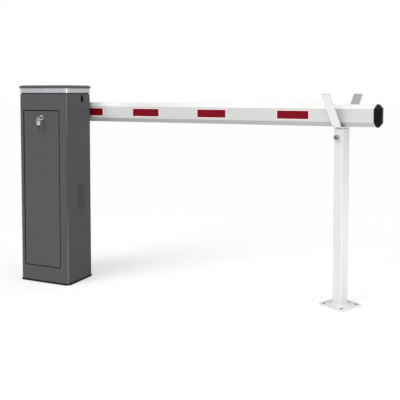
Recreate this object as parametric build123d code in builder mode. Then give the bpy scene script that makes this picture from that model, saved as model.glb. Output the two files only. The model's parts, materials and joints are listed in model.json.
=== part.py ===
from build123d import *
import os
from math import atan2, cos, degrees, radians, sin, tan

# A parking barrier: a sheet-steel cabinet, a lifting boom and a post whose fork holds the boom's tip.
# The origin is on the ground under the middle of the cabinet. The boom points along +X,
# it hangs on the cabinet's back (+Y), and the door is in the front (-Y).

os.makedirs("parts", exist_ok=True)

# Cabinet body
cabinet_width = 300
cabinet_depth = 215
corner_radius = 20
sheet = 2
base_thickness = 8
base_margin = 3
body_top = 965

# Roof: groove, bright band and flared lid
groove_height = 7
groove_depth = 5
collar_wall = 3
collar_flange_thickness = 4
band_height = 22
band_proud = 1
lid_rim_height = 10
lid_flare = 8
lid_crown = 6
lid_wall = 3

# Door opening in the front
left_stile = 28
right_stile = 46
sill_height = 82
head_height = 80
opening_corner = 6
reveal_depth = 18

# Door
door_gap = 5
hinge_gap = 3
door_depth = 15
door_edge_radius = 3
hinge_inset = 7
hinge_pin_radius = 2.5
hinge_pin_reach = 6
hinge_shoulder_radius = 4.5
running_clearance = 0.05
seat_clearance = 0.3

# Lock and keys
lock_right_of_middle = 7
lock_below_door_top = 34
lock_bezel_radius = 12
lock_bezel_height = 4
lock_barrel_radius = 9
lock_barrel_length = 22
lock_nut_radius = 13
lock_nut_height = 5
cam_length = 56
cam_width = 16
cam_chamfer = 4
cam_thickness = 3
key_thickness = 2
key_blade_width = 7
key_blade_length = 24
key_blade_out = 10
key_tip_chamfer = 2
key_cut_count = 4
key_cut_pitch = 4
key_cut_size = 2.4
key_bow_radius = 11
key_hole_radius = 4.5
key_hole_edge = 2
spare_key_tilt = 12
ring_outer_radius = 9
ring_inner_radius = 7.5
ring_thickness = 1.5
ring_play = 0.9

# Louvres and keyhole slot in the sides
louvre_count = 6
louvre_length = 60
louvre_height = 13
louvre_lip = 4
louvre_depth = 6
louvre_pitch = 23.5
louvre_middle = 437
louvre_y = 7
keyhole_from_back = 83.5
keyhole_below_top = 16
keyhole_drop = 13
keyhole_low_radius = 9.5
keyhole_high_radius = 7.5

# Fixing holes and cable opening in the base plate
anchor_spacing_x = 230
anchor_spacing_y = 150
anchor_hole_radius = 7
cable_opening_x = 110
cable_opening_y = 70

# Boom
boom_height = 100
boom_width = 45
boom_flat = 60
boom_top_flat = 18
boom_wall = 2.2
boom_axis_below_top = 94
boom_offset = 30
boom_tail = 95
boom_reach = 1622

# Reflective strips
strip_centres = (127, 460, 826, 1236)
strip_length = 150
strip_height = 38
strip_thickness = 0.5
strip_clearance = 2

# Caps of the boom
cap_skirt = 18
cap_wall = 1.5
cap_end = 17
cap_chamfer = 4
cap_cutback = 11
cap_nose_length = 15
cap_nose_drop = 19
root_cap_thickness = 5

# Drive and shaft
shaft_radius = 15
shaft_in_gearbox = 88
gearbox_width = 150
gearbox_height = 150
gearbox_depth = 110
gearbox_corner = 10
gearbox_chamfer = 5
motor_margin = 3
motor_height = 150
motor_corner = 16
motor_rib_count = 5
motor_rib_pitch = 12
motor_rib_depth = 4
motor_rib_width = 3
motor_cap_height = 30
drive_plate_width = 220
drive_plate_height = 230
drive_plate_thickness = 8
drive_plate_drop = 32
drive_plate_corner = 15
bearing_size = 100
bearing_thickness = 10
bearing_corner = 12
shaft_hole_radius = 25

# Carrier and clamp of the boom
carrier_length = 160
carrier_height = 164
carrier_thickness = 10
carrier_corner = 12
carrier_hub_radius = 30
carrier_hub_gap = 2
clamp_thickness = 6
clamp_bolt_x = 58
clamp_bolt_z = 66
clamp_bolt_radius = 6
clamp_hole_clearance = 0.5
clamp_nut_radius = 10
clamp_nut_height = 8

# Post with its fork, turned a little about its own axis
post_x = 1460
post_turn = 27
foot_size = 138
foot_thickness = 8
foot_corner = 6
foot_hole_radius = 5.5
foot_hole_circle = 146
tube_size = 50
tube_wall = 3
tube_corner = 4
post_collar_gap = 5
post_collar_height = 5
post_collar_margin = 2.5
stem_size = 40
stem_wall = 3
stem_length = 217
strap_width = 48
strap_thickness = 4
strap_bend = 8
strap_corner = 5
fork_floor = 66
fork_height = 148
fork_lean = 28.5

# Set bolt and the square nut that is welded to the tube
set_nut_below_top = 34
set_nut_size = 19
set_nut_height = 9
set_bolt_radius = 6
set_bolt_head_radius = 12
set_bolt_head_height = 10

# Derived places
front_y = -cabinet_depth / 2
back_y = cabinet_depth / 2
half_width = cabinet_width / 2
side_strip = half_width - corner_radius
body_height = body_top - base_thickness
band_bottom = body_top + groove_height
band_top = band_bottom + band_height
rim_top = band_top + lid_rim_height
opening_left = left_stile - half_width
opening_right = half_width - right_stile
opening_bottom = sill_height
opening_top = body_top - head_height
opening_width = opening_right - opening_left
opening_height = opening_top - opening_bottom
opening_x = (opening_left + opening_right) / 2
opening_z = (opening_bottom + opening_top) / 2
door_left = opening_left + hinge_gap
door_right = opening_right - door_gap
door_bottom = opening_bottom + door_gap
door_top = opening_top - door_gap
door_width = door_right - door_left
door_height = door_top - door_bottom
door_x = (door_left + door_right) / 2
hinge_x = door_left + hinge_inset
hinge_y = front_y + hinge_inset
lock_x = door_x + lock_right_of_middle
lock_z = door_top - lock_below_door_top
boom_front = back_y + boom_offset
boom_y = boom_front + boom_width / 2
boom_back = boom_front + boom_width
boom_axis = body_top - boom_axis_below_top
boom_bottom = boom_axis - boom_height / 2
boom_root = -boom_tail
boom_tip = boom_reach
cap_start = boom_tip - cap_skirt
cap_front = boom_tip + cap_end
cap_high = boom_height / 2 + cap_wall
carrier_back = boom_front - carrier_thickness
bearing_face = back_y + bearing_thickness
drive_plate_y = back_y - sheet - drive_plate_thickness
shaft_start = drive_plate_y - shaft_in_gearbox
motor_y = drive_plate_y - gearbox_depth / 2
motor_size = gearbox_depth - 2 * motor_margin
motor_core = motor_size - 2 * motor_rib_depth
keyhole_y = back_y - keyhole_from_back
keyhole_high = body_top - keyhole_below_top
keyhole_low = keyhole_high - keyhole_drop
strap_top = boom_bottom - seat_clearance
strap_bottom = strap_top - strap_thickness
stem_bottom = strap_bottom - stem_length
post_top = strap_bottom - post_collar_gap - post_collar_height
key_bow_middle = key_bow_radius - key_hole_edge - key_hole_radius
key_tip = key_bow_middle + key_bow_radius + key_blade_length
key_hole_y = front_y - lock_bezel_height - key_blade_out + key_blade_length - key_tip
ring_z = lock_z - key_hole_radius + ring_play - ring_inner_radius
spare_hole_z = ring_z - ring_inner_radius + ring_play - key_hole_radius
fork_top = fork_floor / 2 + fork_height * tan(radians(fork_lean))
turn_cos = cos(radians(post_turn))
turn_sin = sin(radians(post_turn))
boom_plane = Plane(origin=(0, boom_y, boom_axis), x_dir=(1, 0, 0), z_dir=(0, -1, 0))
post_plane = Plane(
    origin=(post_x, boom_y, 0),
    x_dir=(turn_cos, -turn_sin, 0),
    z_dir=(0, 0, 1),
)
fork_plane = Plane(
    origin=(post_x, boom_y, 0),
    x_dir=(turn_sin, turn_cos, 0),
    z_dir=(turn_cos, -turn_sin, 0),
)
set_bolt_plane = Plane(
    origin=(
        post_x - turn_sin * tube_size / 2,
        boom_y - turn_cos * tube_size / 2,
        post_top - set_nut_below_top,
    ),
    x_dir=(turn_cos, -turn_sin, 0),
    z_dir=(-turn_sin, -turn_cos, 0),
)
door_key_plane = Plane(origin=(lock_x, key_hole_y, lock_z), x_dir=(0, 1, 0), z_dir=(1, 0, 0))
ring_plane = Plane(origin=(lock_x, key_hole_y, ring_z), x_dir=(1, 1, 0), z_dir=(1, -1, 0))
spare_key_plane = Plane(
    origin=(lock_x, key_hole_y, spare_hole_z),
    x_dir=(sin(radians(spare_key_tilt)), 0, -cos(radians(spare_key_tilt))),
    z_dir=(0, -1, 0),
)

# Outline of the folded body, seen from above
with BuildSketch() as body_ring:
    RectangleRounded(cabinet_width, cabinet_depth, corner_radius)
    RectangleRounded(
        cabinet_width - 2 * sheet,
        cabinet_depth - 2 * sheet,
        corner_radius - sheet,
        mode=Mode.SUBTRACT,
    )

# Outlines of the boom, its bore and its tip cap, seen from the tip
with BuildSketch() as boom_outline:
    with BuildLine():
        Polyline(
            (boom_width / 2, boom_flat / 2),
            (boom_top_flat / 2, boom_height / 2),
            (-boom_top_flat / 2, boom_height / 2),
            (-boom_width / 2, boom_flat / 2),
            (-boom_width / 2, -boom_flat / 2),
            (-boom_top_flat / 2, -boom_height / 2),
            (boom_top_flat / 2, -boom_height / 2),
            (boom_width / 2, -boom_flat / 2),
            close=True,
        )
    make_face()
with BuildSketch() as boom_bore:
    offset(boom_outline.sketch, amount=-boom_wall, kind=Kind.INTERSECTION)
with BuildSketch() as cap_outline:
    offset(boom_outline.sketch, amount=cap_wall, kind=Kind.INTERSECTION)

# Outline of both keys, with the ring hole at the origin and the blade along +X
with BuildSketch() as key_outline:
    with Locations((key_bow_middle, 0)):
        RegularPolygon(key_bow_radius, 8, major_radius=False, rotation=22.5)
    with Locations(((key_tip + key_bow_middle) / 2, 0)):
        Rectangle(key_tip - key_bow_middle, key_blade_width)
    chamfer(key_outline.vertices().group_by(Axis.X)[-1], key_tip_chamfer)
    with Locations((key_tip - (key_cut_count + 1) / 2 * key_cut_pitch, -key_blade_width / 2)):
        with GridLocations(key_cut_pitch, 0, key_cut_count, 1):
            Rectangle(key_cut_size, key_cut_size, rotation=45, mode=Mode.SUBTRACT)
    Circle(key_hole_radius, mode=Mode.SUBTRACT)

# Base plate that bolts to the ground
with BuildPart() as base_plate:
    with BuildSketch():
        RectangleRounded(
            cabinet_width + 2 * base_margin,
            cabinet_depth + 2 * base_margin,
            corner_radius + base_margin,
        )
        with GridLocations(anchor_spacing_x, anchor_spacing_y, 2, 2):
            Circle(anchor_hole_radius, mode=Mode.SUBTRACT)
        Rectangle(cable_opening_x, cable_opening_y, mode=Mode.SUBTRACT)
    extrude(amount=base_thickness)
base_plate.part.label = "base_plate"
export_step(base_plate.part, "parts/base_plate.step")

# Pressed louvre, drawn at the origin on a face that looks along +X: a sloping hood with slanted ends
with BuildPart() as louvre_hood:
    with BuildSketch(Plane.XZ):
        with BuildLine():
            Polyline(
                (0, louvre_height / 2),
                (0, -louvre_height / 2),
                (louvre_depth, -louvre_height / 2),
                (louvre_depth, louvre_lip - louvre_height / 2),
                close=True,
            )
        make_face()
    extrude(amount=louvre_length / 2, both=True)
    with BuildSketch(Plane.XY):
        with BuildLine():
            Polyline(
                (0, louvre_length / 2),
                (0, -louvre_length / 2),
                (louvre_depth, louvre_depth - louvre_length / 2),
                (louvre_depth, louvre_length / 2 - louvre_depth),
                close=True,
            )
        make_face()
    extrude(amount=louvre_height, both=True, mode=Mode.INTERSECT)

# Folded side with its two rounded corners and a row of louvres, which are open inside and below
with BuildPart() as side_blank:
    with BuildSketch(Plane.XY.offset(base_thickness)):
        add(body_ring.sketch)
        with Locations((half_width - corner_radius / 2, 0)):
            Rectangle(corner_radius, cabinet_depth, mode=Mode.INTERSECT)
    extrude(amount=body_height)
    for n in range(louvre_count):
        louvre_z = louvre_middle + (n - (louvre_count - 1) / 2) * louvre_pitch
        with Locations((half_width, louvre_y, louvre_z)):
            add(louvre_hood.part)
        with Locations((half_width - sheet, louvre_y, louvre_z - sheet)):
            add(louvre_hood.part, mode=Mode.SUBTRACT)

# Right side, with the keyhole slot of the hand release
with BuildPart() as right_side:
    add(side_blank.part)
    with BuildSketch(Plane.YZ.offset(half_width)):
        with Locations((keyhole_y, keyhole_low)):
            Circle(keyhole_low_radius)
        with Locations((keyhole_y, keyhole_high)):
            Circle(keyhole_high_radius)
    extrude(amount=-sheet, mode=Mode.SUBTRACT)
right_side.part.label = "right_side"
export_step(right_side.part, "parts/right_side.step")

# Left side, the same folding without the slot
with BuildPart() as left_side:
    mirror(side_blank.part, about=Plane.YZ)
left_side.part.label = "left_side"
export_step(left_side.part, "parts/left_side.step")

# Back panel with the hole that the shaft comes out of
with BuildPart() as back_panel:
    with BuildSketch(Plane.XY.offset(base_thickness)):
        add(body_ring.sketch)
        with Locations((0, back_y)):
            Rectangle(2 * side_strip, 2 * corner_radius, mode=Mode.INTERSECT)
    extrude(amount=body_height)
    with BuildSketch(Plane.XZ.offset(-back_y)):
        with Locations((0, boom_axis)):
            Circle(shaft_hole_radius)
    extrude(amount=sheet, mode=Mode.SUBTRACT)
back_panel.part.label = "back_panel"
export_step(back_panel.part, "parts/back_panel.step")

# Front with the door opening, its inward reveal and the holes for the hinge pins
with BuildPart() as front_frame:
    with BuildSketch(Plane.XY.offset(base_thickness)):
        add(body_ring.sketch)
        with Locations((0, front_y)):
            Rectangle(2 * side_strip, 2 * corner_radius, mode=Mode.INTERSECT)
    extrude(amount=body_height)
    with BuildSketch(Plane.XZ.offset(-front_y)):
        with Locations((opening_x, opening_z)):
            Rectangle(opening_width + 2 * sheet, opening_height + 2 * sheet)
    extrude(amount=-sheet - reveal_depth)
    with BuildSketch(Plane.XZ.offset(-front_y)):
        with Locations((opening_x, opening_z)):
            RectangleRounded(opening_width, opening_height, opening_corner)
    extrude(amount=-sheet - reveal_depth, mode=Mode.SUBTRACT)
    with BuildSketch(Plane.XY.offset(opening_bottom - sheet)):
        with Locations((hinge_x, hinge_y)):
            Circle(hinge_pin_radius + running_clearance)
    extrude(amount=opening_height + 2 * sheet, mode=Mode.SUBTRACT)
front_frame.part.label = "front_frame"
export_step(front_frame.part, "parts/front_frame.step")

# Collar inside the roof, which shows as the dark groove under the band
with BuildPart() as roof_collar:
    with BuildSketch(Plane.XY.offset(body_top - collar_flange_thickness)):
        RectangleRounded(cabinet_width - 2 * sheet, cabinet_depth - 2 * sheet, corner_radius - sheet)
    extrude(amount=collar_flange_thickness)
    with BuildSketch(Plane.XY.offset(body_top)):
        RectangleRounded(
            cabinet_width - 2 * groove_depth,
            cabinet_depth - 2 * groove_depth,
            corner_radius - groove_depth,
        )
    extrude(amount=band_top - body_top)
    with BuildSketch(Plane.XY.offset(body_top - collar_flange_thickness)):
        RectangleRounded(
            cabinet_width - 2 * groove_depth - 2 * collar_wall,
            cabinet_depth - 2 * groove_depth - 2 * collar_wall,
            corner_radius - groove_depth - collar_wall,
        )
    extrude(amount=band_top - body_top + collar_flange_thickness, mode=Mode.SUBTRACT)
roof_collar.part.label = "roof_collar"
export_step(roof_collar.part, "parts/roof_collar.step")

# Bright band round the top
with BuildPart() as top_band:
    with BuildSketch(Plane.XY.offset(band_bottom)):
        RectangleRounded(
            cabinet_width + 2 * band_proud,
            cabinet_depth + 2 * band_proud,
            corner_radius + band_proud,
        )
        RectangleRounded(
            cabinet_width - 2 * groove_depth,
            cabinet_depth - 2 * groove_depth,
            corner_radius - groove_depth,
            mode=Mode.SUBTRACT,
        )
    extrude(amount=band_height)
top_band.part.label = "top_band"
export_step(top_band.part, "parts/top_band.step")

# Lid with a rim that flares outwards and a low crown
with BuildPart() as lid:
    with BuildSketch(Plane.XY.offset(band_top)):
        RectangleRounded(
            cabinet_width + 2 * band_proud,
            cabinet_depth + 2 * band_proud,
            corner_radius + band_proud,
        )
    extrude(amount=lid_rim_height, taper=-degrees(atan2(lid_flare - band_proud, lid_rim_height)))
    with BuildSketch(Plane.XY.offset(rim_top)):
        RectangleRounded(
            cabinet_width + 2 * lid_flare, cabinet_depth + 2 * lid_flare, corner_radius + lid_flare
        )
    extrude(amount=lid_crown, taper=degrees(atan2(corner_radius, lid_crown)))
    with BuildSketch(Plane.XY.offset(band_top)):
        Rectangle(
            cabinet_width - 2 * groove_depth - 2 * collar_wall,
            cabinet_depth - 2 * groove_depth - 2 * collar_wall,
        )
    extrude(amount=lid_rim_height - lid_wall, mode=Mode.SUBTRACT)
lid.part.label = "lid"
export_step(lid.part, "parts/lid.step")

# Plate inside the back that carries the gearbox
with BuildPart() as drive_plate:
    with BuildSketch(Plane.XZ.offset(-drive_plate_y)) as drive_plate_face:
        with Locations((0, boom_axis - drive_plate_drop)):
            Rectangle(drive_plate_width, drive_plate_height)
        chamfer(drive_plate_face.vertices(), drive_plate_corner)
        with Locations((0, boom_axis)):
            Circle(shaft_hole_radius, mode=Mode.SUBTRACT)
    extrude(amount=-drive_plate_thickness)
drive_plate.part.label = "drive_plate"
export_step(drive_plate.part, "parts/drive_plate.step")

# Gearbox that the shaft runs in
with BuildPart() as gearbox:
    with BuildSketch(Plane.XZ.offset(-drive_plate_y)) as gearbox_face:
        with Locations((0, boom_axis)):
            Rectangle(gearbox_width, gearbox_height)
        chamfer(gearbox_face.vertices(), gearbox_corner)
    extrude(amount=gearbox_depth)
    chamfer(gearbox.faces().sort_by(Axis.Y)[0].edges(), gearbox_chamfer)
    with BuildSketch(Plane.XZ.offset(-drive_plate_y)):
        with Locations((0, boom_axis)):
            Circle(shaft_radius + running_clearance)
    extrude(amount=drive_plate_y - shaft_start + seat_clearance, mode=Mode.SUBTRACT)
gearbox.part.label = "gearbox"
export_step(gearbox.part, "parts/gearbox.step")

# Motor under the gearbox: a square housing with cooling ribs on its four sides, and a plain cap below
with BuildPart() as motor:
    with BuildSketch(Plane.XY.offset(boom_axis - gearbox_height / 2)) as motor_plan:
        with Locations((0, motor_y)):
            Rectangle(motor_core, motor_core)
        chamfer(motor_plan.vertices(), motor_corner)
        with Locations((0, motor_y)):
            with GridLocations(motor_core, motor_rib_pitch, 2, motor_rib_count):
                Rectangle(2 * motor_rib_depth, motor_rib_width)
            with GridLocations(motor_rib_pitch, motor_core, motor_rib_count, 2):
                Rectangle(motor_rib_width, 2 * motor_rib_depth)
    extrude(amount=-motor_height)
    with BuildSketch(Plane.XY.offset(boom_axis - gearbox_height / 2 - motor_height)) as motor_cap:
        with Locations((0, motor_y)):
            Rectangle(motor_size, motor_size)
        chamfer(motor_cap.vertices(), motor_corner)
    extrude(amount=-motor_cap_height)
motor.part.label = "motor"
export_step(motor.part, "parts/motor.step")

# Flange bearing on the outside of the back
with BuildPart() as shaft_bearing:
    with BuildSketch(Plane.XZ.offset(-back_y)) as bearing_flange:
        with Locations((0, boom_axis)):
            Rectangle(bearing_size, bearing_size)
        chamfer(bearing_flange.vertices(), bearing_corner)
        with Locations((0, boom_axis)):
            Circle(shaft_radius + running_clearance, mode=Mode.SUBTRACT)
    extrude(amount=-bearing_thickness)
shaft_bearing.part.label = "shaft_bearing"
export_step(shaft_bearing.part, "parts/shaft_bearing.step")

# Two pins that the door turns on; it rests on the shoulder of the lower one
with BuildPart() as hinge_pins:
    with BuildSketch(Plane.XY.offset(door_top - hinge_pin_reach)):
        with Locations((hinge_x, hinge_y)):
            Circle(hinge_pin_radius)
    extrude(amount=opening_top + sheet - door_top + hinge_pin_reach)
    with BuildSketch(Plane.XY.offset(opening_bottom - sheet)):
        with Locations((hinge_x, hinge_y)):
            Circle(hinge_pin_radius)
    extrude(amount=sheet + door_gap + hinge_pin_reach)
    with BuildSketch(Plane.XY.offset(opening_bottom)):
        with Locations((hinge_x, hinge_y)):
            RegularPolygon(hinge_shoulder_radius, 6)
    extrude(amount=door_gap - seat_clearance)
hinge_pins.part.label = "hinge_pins"
export_step(hinge_pins.part, "parts/hinge_pins.step")

# Door: a pan of folded sheet whose left edge is rounded about the hinge
with BuildPart() as door_panel:
    with BuildSketch(Plane.XY.offset(door_bottom)) as door_plan:
        with Locations((door_x, front_y + door_depth / 2)):
            Rectangle(door_width, door_depth)
        fillet(door_plan.vertices().group_by(Axis.Y)[0].sort_by(Axis.X)[0], hinge_inset)
        fillet(door_plan.vertices().group_by(Axis.Y)[0].sort_by(Axis.X)[-1], door_edge_radius)
    extrude(amount=door_height)
    with BuildSketch(Plane.XY.offset(door_bottom + sheet)) as door_hollow:
        with Locations((door_x, front_y + sheet + door_depth / 2)):
            Rectangle(door_width - 2 * sheet, door_depth)
        fillet(door_hollow.vertices().group_by(Axis.Y)[0].sort_by(Axis.X)[0], hinge_inset - sheet)
        fillet(door_hollow.vertices().group_by(Axis.Y)[0].sort_by(Axis.X)[-1], door_edge_radius - sheet)
    extrude(amount=door_height - 2 * sheet, mode=Mode.SUBTRACT)
    with BuildSketch(Plane.XY.offset(door_bottom)):
        with Locations((hinge_x, hinge_y)):
            Circle(hinge_pin_radius + running_clearance)
    extrude(amount=door_height, mode=Mode.SUBTRACT)
    with BuildSketch(Plane.XZ.offset(-front_y)):
        with Locations((lock_x, lock_z)):
            Circle(lock_barrel_radius + running_clearance)
    extrude(amount=-sheet, mode=Mode.SUBTRACT)
door_panel.part.label = "door_panel"
export_step(door_panel.part, "parts/door_panel.step")

# Lock cylinder with the slot that the key sits in
with BuildPart() as lock_cylinder:
    with BuildSketch(Plane.XZ.offset(-front_y)):
        with Locations((lock_x, lock_z)):
            Circle(lock_bezel_radius)
    extrude(amount=lock_bezel_height)
    with BuildSketch(Plane.XZ.offset(-front_y)):
        with Locations((lock_x, lock_z)):
            Circle(lock_barrel_radius)
    extrude(amount=-lock_barrel_length)
    with BuildSketch(Plane.XZ.offset(-front_y + lock_bezel_height)):
        with Locations((lock_x, lock_z)):
            Rectangle(key_thickness + 2 * running_clearance, key_blade_width + 2 * running_clearance)
    extrude(amount=-key_blade_length + key_blade_out, mode=Mode.SUBTRACT)
lock_cylinder.part.label = "lock_cylinder"
export_step(lock_cylinder.part, "parts/lock_cylinder.step")

# Nut that holds the lock behind the door skin
with BuildPart() as lock_nut:
    with BuildSketch(Plane.XZ.offset(-front_y - sheet)):
        with Locations((lock_x, lock_z)):
            RegularPolygon(lock_nut_radius, 6)
            Circle(lock_barrel_radius + running_clearance, mode=Mode.SUBTRACT)
    extrude(amount=-lock_nut_height)
lock_nut.part.label = "lock_nut"
export_step(lock_nut.part, "parts/lock_nut.step")

# Cam at the back of the lock, turned aside so that the door is free
with BuildPart() as lock_cam:
    with BuildSketch(Plane.XZ.offset(-front_y - lock_barrel_length)) as cam_face:
        with Locations((lock_x + cam_length / 2 - cam_width / 2, lock_z)):
            Rectangle(cam_length, cam_width)
        chamfer(cam_face.vertices(), cam_chamfer)
    extrude(amount=-cam_thickness)
lock_cam.part.label = "lock_cam"
export_step(lock_cam.part, "parts/lock_cam.step")

# Key in the lock, with its blade upright
with BuildPart() as door_key:
    with BuildSketch(door_key_plane):
        add(key_outline.sketch)
    extrude(amount=key_thickness / 2, both=True)
door_key.part.label = "door_key"
export_step(door_key.part, "parts/door_key.step")

# Ring through the bows of both keys
with BuildPart() as key_ring:
    with BuildSketch(ring_plane):
        Circle(ring_outer_radius)
        Circle(ring_inner_radius, mode=Mode.SUBTRACT)
    extrude(amount=ring_thickness / 2, both=True)
key_ring.part.label = "key_ring"
export_step(key_ring.part, "parts/key_ring.step")

# Spare key that hangs from the ring, flat to the door
with BuildPart() as spare_key:
    with BuildSketch(spare_key_plane):
        add(key_outline.sketch)
    extrude(amount=key_thickness / 2, both=True)
spare_key.part.label = "spare_key"
export_step(spare_key.part, "parts/spare_key.step")

# Shaft that turns the boom
with BuildPart() as main_shaft:
    with BuildSketch(Plane.XZ.offset(-shaft_start)):
        with Locations((0, boom_axis)):
            Circle(shaft_radius)
    extrude(amount=-boom_front + shaft_start)
main_shaft.part.label = "main_shaft"
export_step(main_shaft.part, "parts/main_shaft.step")

# Carrier plate with its hub on the shaft
with BuildPart() as boom_carrier:
    with BuildSketch(Plane.XZ.offset(-carrier_back)) as carrier_face:
        with Locations((0, boom_axis)):
            Rectangle(carrier_length, carrier_height)
        chamfer(carrier_face.vertices(), carrier_corner)
    extrude(amount=-carrier_thickness)
    with BuildSketch(Plane.XZ.offset(-carrier_back)):
        with Locations((0, boom_axis)):
            Circle(carrier_hub_radius)
    extrude(amount=carrier_back - bearing_face - carrier_hub_gap)
    with BuildSketch(Plane.XZ.offset(-boom_front)):
        with Locations((0, boom_axis)):
            Circle(shaft_radius + running_clearance)
    extrude(amount=boom_front - bearing_face, mode=Mode.SUBTRACT)
boom_carrier.part.label = "boom_carrier"
export_step(boom_carrier.part, "parts/boom_carrier.step")

# Clamp plate on the far side of the boom
with BuildPart() as boom_clamp:
    with BuildSketch(Plane.XZ.offset(-boom_back)) as clamp_face:
        with Locations((0, boom_axis)):
            Rectangle(carrier_length, carrier_height)
        chamfer(clamp_face.vertices(), carrier_corner)
        with Locations((0, boom_axis)):
            with GridLocations(2 * clamp_bolt_x, 2 * clamp_bolt_z, 2, 2):
                Circle(clamp_bolt_radius + clamp_hole_clearance, mode=Mode.SUBTRACT)
    extrude(amount=-clamp_thickness)
boom_clamp.part.label = "boom_clamp"
export_step(boom_clamp.part, "parts/boom_clamp.step")

# Four studs that are welded to the carrier, above and below the boom, with nuts on the clamp plate
with BuildPart() as clamp_bolts:
    with BuildSketch(Plane.XZ.offset(-boom_front)):
        with Locations((0, boom_axis)):
            with GridLocations(2 * clamp_bolt_x, 2 * clamp_bolt_z, 2, 2):
                Circle(clamp_bolt_radius)
    extrude(amount=boom_front - boom_back - clamp_thickness)
    with BuildSketch(Plane.XZ.offset(-boom_back - clamp_thickness)):
        with Locations((0, boom_axis)):
            with GridLocations(2 * clamp_bolt_x, 2 * clamp_bolt_z, 2, 2):
                RegularPolygon(clamp_nut_radius, 6)
    extrude(amount=-clamp_nut_height)
clamp_bolts.part.label = "clamp_bolts"
export_step(clamp_bolts.part, "parts/clamp_bolts.step")

# Boom: an octagonal tube
with BuildPart() as boom_tube:
    with BuildSketch(Plane.YZ.offset(boom_root)):
        with Locations((boom_y, boom_axis)):
            add(boom_outline.sketch)
            add(boom_bore.sketch, mode=Mode.SUBTRACT)
    extrude(amount=boom_tip - boom_root)
boom_tube.part.label = "boom_tube"
export_step(boom_tube.part, "parts/boom_tube.step")

# Black cap over the tip; its skirt is cut back above and below, and its nose slopes there
with BuildPart() as tip_cap:
    with BuildSketch(Plane.YZ.offset(cap_start)):
        with Locations((boom_y, boom_axis)):
            add(cap_outline.sketch)
    extrude(amount=cap_skirt + cap_end)
    with BuildSketch(boom_plane):
        with BuildLine():
            Polyline(
                (cap_start, boom_flat / 2),
                (cap_start + cap_cutback, cap_high),
                (cap_front - cap_nose_length, cap_high),
                (cap_front, cap_high - cap_nose_drop),
                (cap_front, cap_nose_drop - cap_high),
                (cap_front - cap_nose_length, -cap_high),
                (cap_start + cap_cutback, -cap_high),
                (cap_start, -boom_flat / 2),
                close=True,
            )
        make_face()
    extrude(amount=boom_width, both=True, mode=Mode.INTERSECT)
    chamfer(tip_cap.faces().sort_by(Axis.X)[-1].edges().filter_by(Axis.Z), cap_chamfer)
    with BuildSketch(Plane.YZ.offset(cap_start)):
        with Locations((boom_y, boom_axis)):
            add(boom_outline.sketch)
    extrude(amount=cap_skirt, mode=Mode.SUBTRACT)
tip_cap.part.label = "tip_cap"
export_step(tip_cap.part, "parts/tip_cap.step")

# Flat cap on the root end
with BuildPart() as root_cap:
    with BuildSketch(Plane.YZ.offset(boom_root)):
        with Locations((boom_y, boom_axis)):
            add(boom_outline.sketch)
    extrude(amount=-root_cap_thickness)
    chamfer(root_cap.faces().sort_by(Axis.X)[0].edges(), root_cap_thickness / 2)
root_cap.part.label = "root_cap"
export_step(root_cap.part, "parts/root_cap.step")

# Reflective strips on the front flat; the first one starts at the carrier
with BuildPart() as front_strips:
    with BuildSketch(Plane.XZ.offset(-boom_front)):
        for centre in strip_centres:
            strip_start = max(centre - strip_length / 2, carrier_length / 2 + strip_clearance)
            strip_end = centre + strip_length / 2
            with Locations(((strip_start + strip_end) / 2, boom_axis)):
                Rectangle(strip_end - strip_start, strip_height)
    extrude(amount=strip_thickness)
front_strips.part.label = "front_strips"
export_step(front_strips.part, "parts/front_strips.step")

# The same strips on the rear flat
with BuildPart() as rear_strips:
    mirror(front_strips.part, about=Plane.XZ.offset(-boom_y))
rear_strips.part.label = "rear_strips"
export_step(rear_strips.part, "parts/rear_strips.step")

# Foot plate of the post
with BuildPart() as post_foot:
    with BuildSketch(post_plane):
        RectangleRounded(foot_size, foot_size, foot_corner)
        with PolarLocations(foot_hole_circle / 2, 4, start_angle=45):
            Circle(foot_hole_radius, mode=Mode.SUBTRACT)
    extrude(amount=foot_thickness)
post_foot.part.label = "post_foot"
export_step(post_foot.part, "parts/post_foot.step")

# Square tube of the post, with the welded nut near its top
with BuildPart() as post_tube:
    with BuildSketch(post_plane.offset(foot_thickness)):
        RectangleRounded(tube_size, tube_size, tube_corner)
        Rectangle(tube_size - 2 * tube_wall, tube_size - 2 * tube_wall, mode=Mode.SUBTRACT)
    extrude(amount=post_top - foot_thickness)
    with BuildSketch(set_bolt_plane):
        Rectangle(set_nut_size, set_nut_size)
    extrude(amount=set_nut_height)
    with BuildSketch(set_bolt_plane.offset(set_nut_height)):
        Circle(set_bolt_radius + running_clearance)
    extrude(amount=-set_nut_height - tube_wall, mode=Mode.SUBTRACT)
post_tube.part.label = "post_tube"
export_step(post_tube.part, "parts/post_tube.step")

# Collar that guides the stem at the top of the tube
with BuildPart() as post_collar:
    with BuildSketch(post_plane.offset(post_top)):
        RectangleRounded(
            tube_size + 2 * post_collar_margin, tube_size + 2 * post_collar_margin, tube_corner
        )
        Rectangle(stem_size + 2 * seat_clearance, stem_size + 2 * seat_clearance, mode=Mode.SUBTRACT)
    extrude(amount=post_collar_height)
post_collar.part.label = "post_collar"
export_step(post_collar.part, "parts/post_collar.step")

# Stem of the fork, which slides in the tube for height
with BuildPart() as fork_stem:
    with BuildSketch(post_plane.offset(stem_bottom)):
        Rectangle(stem_size, stem_size)
        Rectangle(stem_size - 2 * stem_wall, stem_size - 2 * stem_wall, mode=Mode.SUBTRACT)
    extrude(amount=strap_bottom - stem_bottom)
fork_stem.part.label = "fork_stem"
export_step(fork_stem.part, "parts/fork_stem.step")

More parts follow.
